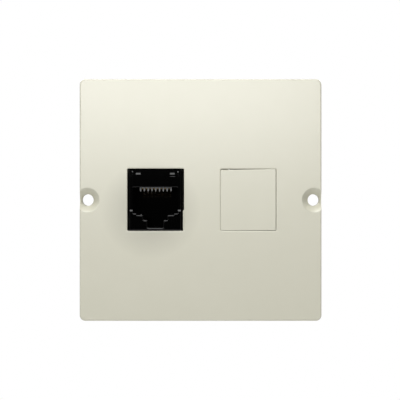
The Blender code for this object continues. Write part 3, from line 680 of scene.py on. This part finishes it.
def make_carrier():
    """The nylon insert that holds the wires. The comb's teeth taper down and back between the wires."""
    slab = rectangle(10.4, 1.2, (0, 4.15))
    carrier = moulded("wire_carrier", slab, FRONT, 3.4, 15.3, 0.1, FINE, FINE)
    for side in (-1, 1):
        rail = rectangle(0.8, 1.75, (side * 4.76, 4.5))
        join(carrier, moulded(f"rail{side}", rail, FRONT, 15.0, 27.0, 0.08, last=(0.15, 0.15)))
    for i in range(CONTACTS):
        groove = rectangle(0.52, 3.0, (contact_x(i), 2.95))
        cut(carrier, moulded(f"groove{i}", groove, FRONT, 3.65, 15.8, 0.06, steps=2))
    # From top to tip, a tooth's levels are (z, half its width, where its front is).
    levels = [(3.8, 0.21, 3.41), (3.1, 0.2, 3.42), (2.8, 0.19, 3.48), (2.55, 0.16, 3.62),
              (2.36, 0.12, 3.85), (2.25, 0.08, 4.2)]
    tooth_back = 4.7
    join(carrier, moulded("web", rectangle(8.3, 0.6, (0, 3.45)), FRONT, 3.5, 3.62, 0.02))
    for i in range(CONTACTS + 1):
        x = contact_x(i - 0.5)
        sections = [(z, (x - half, x + half), (front, tooth_back)) for z, half, front in levels]
        join(carrier, stack(f"tooth{i}", sections))
    settle(carrier, JACK, NYLON)
    finish(carrier, "outlet", "natural_nylon", "contact_carrier")


def smooth_path(points, steps=6):
    """A curve through the points, as straight as it can be between them."""
    points = [Vector(p) for p in points]
    made = [points[0]]
    for before, corner, after in zip(points, points[1:], points[2:]):
        reach = 0.45 * min((corner - before).length, (after - corner).length)
        start = corner + (before - corner).normalized() * reach
        end = corner + (after - corner).normalized() * reach
        for i in range(steps + 1):
            t = i / steps
            made.append(start * (1 - t) ** 2 + corner * (2 * t * (1 - t)) + end * t * t)
    made.append(points[-1])
    return made


def swept(name, path, radius, x, sides=12):
    """A round wire along a path in the plane at x, with its ends tapered."""
    bm = bmesh.new()
    rings = []
    tip, taper = radius * 0.6, radius * 0.4

    def ring(centre, along, size):
        across = Vector((-along.y, along.x))
        made = []
        for k in range(sides):
            angle = 2 * math.pi * k / sides
            off = across * (size * math.cos(angle))
            made.append(bm.verts.new((x + size * math.sin(angle), centre.x + off.x, centre.y + off.y)))
        rings.append(made)

    for i, point in enumerate(path):
        along = (path[min(i + 1, len(path) - 1)] - path[max(i - 1, 0)]).normalized()
        if i == 0:
            ring(point, along, tip)
            ring(point + along * taper, along, radius)
        elif i == len(path) - 1:
            ring(point - along * taper, along, radius)
            ring(point, along, tip)
        else:
            ring(point, along, radius)
    return closed_body(name, bm, rings)


def make_wires():
    """Each contact is one wire: the sprung arm, the bend behind the comb, and the tail up into the board."""
    for i in range(CONTACTS):
        row = TAIL_ROWS[i % 2]
        path = smooth_path([(12.2, 1.05), (11.3, 0.78), (10.6, 0.85), (4.05, 3.03), (4.0, 4.02), (4.35, 4.15),
                            (row - 0.4, 4.15), (row, 4.45), (row, 7.0)])
        wire = swept(f"contact_wire_{i + 1}", path, WIRE_RADIUS, contact_x(i))
        settle(wire, JACK, GOLD, angle=60)
        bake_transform(wire)
        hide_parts(f"contact_arm_{i + 1}", f"contact_tail_{i + 1}")


make_housing()
make_carrier()
make_wires()
make_latch("jack_latch", JACK, BLACK, "black_plastic")
soften("circuit_board", 0.04 * MM, RESIN, 2)
soften("idc_block", 0.12 * MM, BLACK)
for side_name in ("left", "right"):
    soften(f"wire_cap_{side_name}", 0.15 * MM, MILKY)
    soften(f"wiring_label_{side_name}", 0.03 * MM, FILM, 1)
for i in range(CONTACTS):
    soften(f"idc_clip_{i + 1}", 0.06 * MM, TINNED, 2)

# ---- blank ----

BLANK_X = 12.59 * MM
BLANK_WIDTH, BLANK_LENGTH = 14.3, 12.0
BLANK = Matrix.Translation((BLANK_X, PLATE_FRONT, 0))
LEAN = Matrix.Rotation(math.radians(-0.8), 4, "Y")


def make_blank():
    """The blank sits a little crooked in its port: its face follows the port's sides but not its top."""
    corners = [(-7.33, -8.1), (7.32, -8.03), (7.32, 8.2), (-7.33, 7.94)]
    blank = moulded("blank_face", corners, FRONT, 0, FACE_BACK, 0.3, (0.16, 0.1), FINE)
    join(blank, insert_body("blank_body", BLANK_WIDTH, -7.9, BLANK_LENGTH))
    join(blank, *make_cheeks("blank", BLANK_WIDTH, BLANK_LENGTH))
    hollow = rectangle(11.9, 11.05, (0, -1.225))
    cut(blank, moulded("blank_hollow", hollow, FRONT, 1.6, BLANK_LENGTH + PAST, 0.4, (0.3, 0.3)))
    settle(blank, BLANK, CREAM_INSERT)
    finish(blank, "outlet", "cream_plastic", "blank_insert")


make_blank()
make_latch("blank_latch", BLANK @ LEAN, CREAM_INSERT, "cream_plastic")

# ---- studio ----

# A softbox is its name, elevation and azimuth in degrees, distance and (width, height) in metres, and power
# in watts. The two at the back light what the photo doesn't show.
SOFTBOXES = (
    ("overhead", 70, -15, 0.28, (0.20, 0.16), 0.5),
    ("key", 40, -10, 0.28, (0.20, 0.16), 0.27),
    ("front softbox", 8.5, -6, 0.75, (0.45, 0.10), 1.5),
    ("back left", 40, 215, 0.70, (0.30, 0.30), 2.2),
    ("back right", 20, 140, 0.70, (0.30, 0.30), 1.5),
)
FLOOR_RADIUS, FLOOR_Z = 0.45, -0.2


def area_light(name, elevation, azimuth, distance, size, power):
    """A softbox aimed at the object. Azimuth 0 is in front of it and grows towards +X."""
    light = bpy.data.lights.new(name, "AREA")
    light.shape = "RECTANGLE"
    light.size, light.size_y = size
    light.energy = power
    obj = bpy.data.objects.new(name, light)
    SCENE.collection.objects.link(obj)
    up, turn = math.radians(elevation), math.radians(azimuth)
    level = math.cos(up)
    obj.location = distance * Vector((level * math.sin(turn), -level * math.cos(turn), math.sin(up)))
    obj.rotation_euler = (-obj.location).to_track_quat("-Z", "Y").to_euler()


def make_world(ambient, front):
    """White where the camera sees it. For the object, an even light that dims to front towards -Y."""
    world = bpy.data.worlds.new("studio")
    SCENE.world = world
    world.use_nodes = True
    tree = world.node_tree
    tree.nodes.clear()
    seen, dim = tree.nodes.new("ShaderNodeBackground"), tree.nodes.new("ShaderNodeBackground")
    seen.inputs["Color"].default_value = (1, 1, 1, 1)
    seen.inputs["Strength"].default_value = 1.0
    dim.inputs["Color"].default_value = (1, 1, 1, 1)
    direction = tree.nodes.new("ShaderNodeTexCoord").outputs["Generated"]
    parts = tree.nodes.new("ShaderNodeSeparateXYZ")
    link(tree, direction, parts.inputs[0])
    link(tree, spread(tree, parts.outputs["Y"], front, ambient, -0.97, -0.75), dim.inputs["Strength"])
    path, mix = tree.nodes.new("ShaderNodeLightPath"), tree.nodes.new("ShaderNodeMixShader")
    out = tree.nodes.new("ShaderNodeOutputWorld")
    link(tree, path.outputs["Is Camera Ray"], mix.inputs["Fac"])
    link(tree, dim.outputs[0], mix.inputs[1])
    link(tree, seen.outputs[0], mix.inputs[2])
    link(tree, mix.outputs[0], out.inputs["Surface"])


def make_floor():
    """A plain pale disc below the object."""
    bm = bmesh.new()
    bmesh.ops.create_circle(bm, cap_ends=True, segments=96, radius=FLOOR_RADIUS)
    bmesh.ops.translate(bm, vec=(0, 0, FLOOR_Z), verts=bm.verts)
    floor, tree, shader, coordinates = new_material("floor")
    clouds = noise(tree, coordinates, 12)
    link(tree, blend_colours(tree, clouds, (0.9, 0.9, 0.9), (0.88, 0.88, 0.88)), shader.inputs["Base Color"])
    shader.inputs["Roughness"].default_value = 0.9
    disc = to_object("floor", bm)
    disc.data.materials.append(floor)


make_world(ambient=0.32, front=0.015)
make_floor()
for softbox in SOFTBOXES:
    area_light(*softbox)
SCENE.view_settings.view_transform = "Standard"
